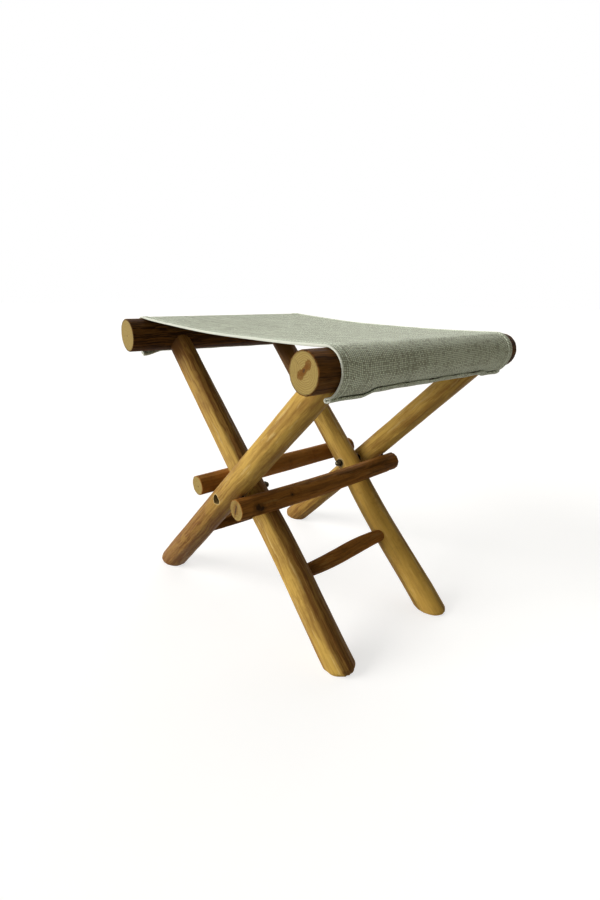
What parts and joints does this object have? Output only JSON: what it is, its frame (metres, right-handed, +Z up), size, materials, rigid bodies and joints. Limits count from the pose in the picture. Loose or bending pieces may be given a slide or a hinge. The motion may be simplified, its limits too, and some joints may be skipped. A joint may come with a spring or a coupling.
{
  "type": "folding stool",
  "caption": "Folding stool of natural round poles: crossed leg frames that turn on pivot bolts, with a woven cloth seat slung and tacked between the top rails.",
  "frame": {"origin": "on the floor, under the middle of the open stool", "axes": "+Z up; +X towards the front rail, across the seat's span; +Y to the left, along the rails"},
  "size_m": [0.4743, 0.364, 0.4356],
  "materials": {
    "golden_wood": "oiled",
    "brown_wood": "oiled",
    "woven_cloth": "coarse plain weave",
    "dark_steel": "blackened"
  },
  "bodies": {
    "outer_frame": {"front_rail": "brown_wood", "outer_leg_right": "golden_wood", "outer_leg_left": "golden_wood", "outer_rung": "brown_wood", "front_stop_pole": "brown_wood", "front_stop_screw_right": "dark_steel", "front_stop_screw_left": "dark_steel", "pivot_bolt_right": "dark_steel", "pivot_bolt_left": "dark_steel", "pivot_spacer_right": "dark_steel", "pivot_spacer_left": "dark_steel", "nut_washer_right": "dark_steel", "nut_washer_left": "dark_steel", "cap_nut_right": "dark_steel", "cap_nut_left": "dark_steel", "seat_sling": "woven_cloth", "front_tack_1": "dark_steel", "front_tack_2": "dark_steel", "front_tack_3": "dark_steel", "front_tack_4": "dark_steel", "front_tack_5": "dark_steel"},
    "inner_frame": {"rear_rail": "brown_wood", "inner_leg_right": "golden_wood", "inner_leg_left": "golden_wood", "inner_rung": "brown_wood", "rear_stop_pole": "brown_wood", "rear_stop_screw_right": "dark_steel", "rear_stop_screw_left": "dark_steel", "rear_tack_1": "dark_steel", "rear_tack_2": "dark_steel", "rear_tack_3": "dark_steel", "rear_tack_4": "dark_steel", "rear_tack_5": "dark_steel"}
  },
  "joints": [
    {"name": "fold", "type": "hinge", "parent": "outer_frame", "child": "inner_frame", "pos_m": [0.00147, 0.004, 0.19531], "axis": [0, 1, 0], "range_deg": [0, 75], "deforming": ["seat_sling"]}
  ]
}
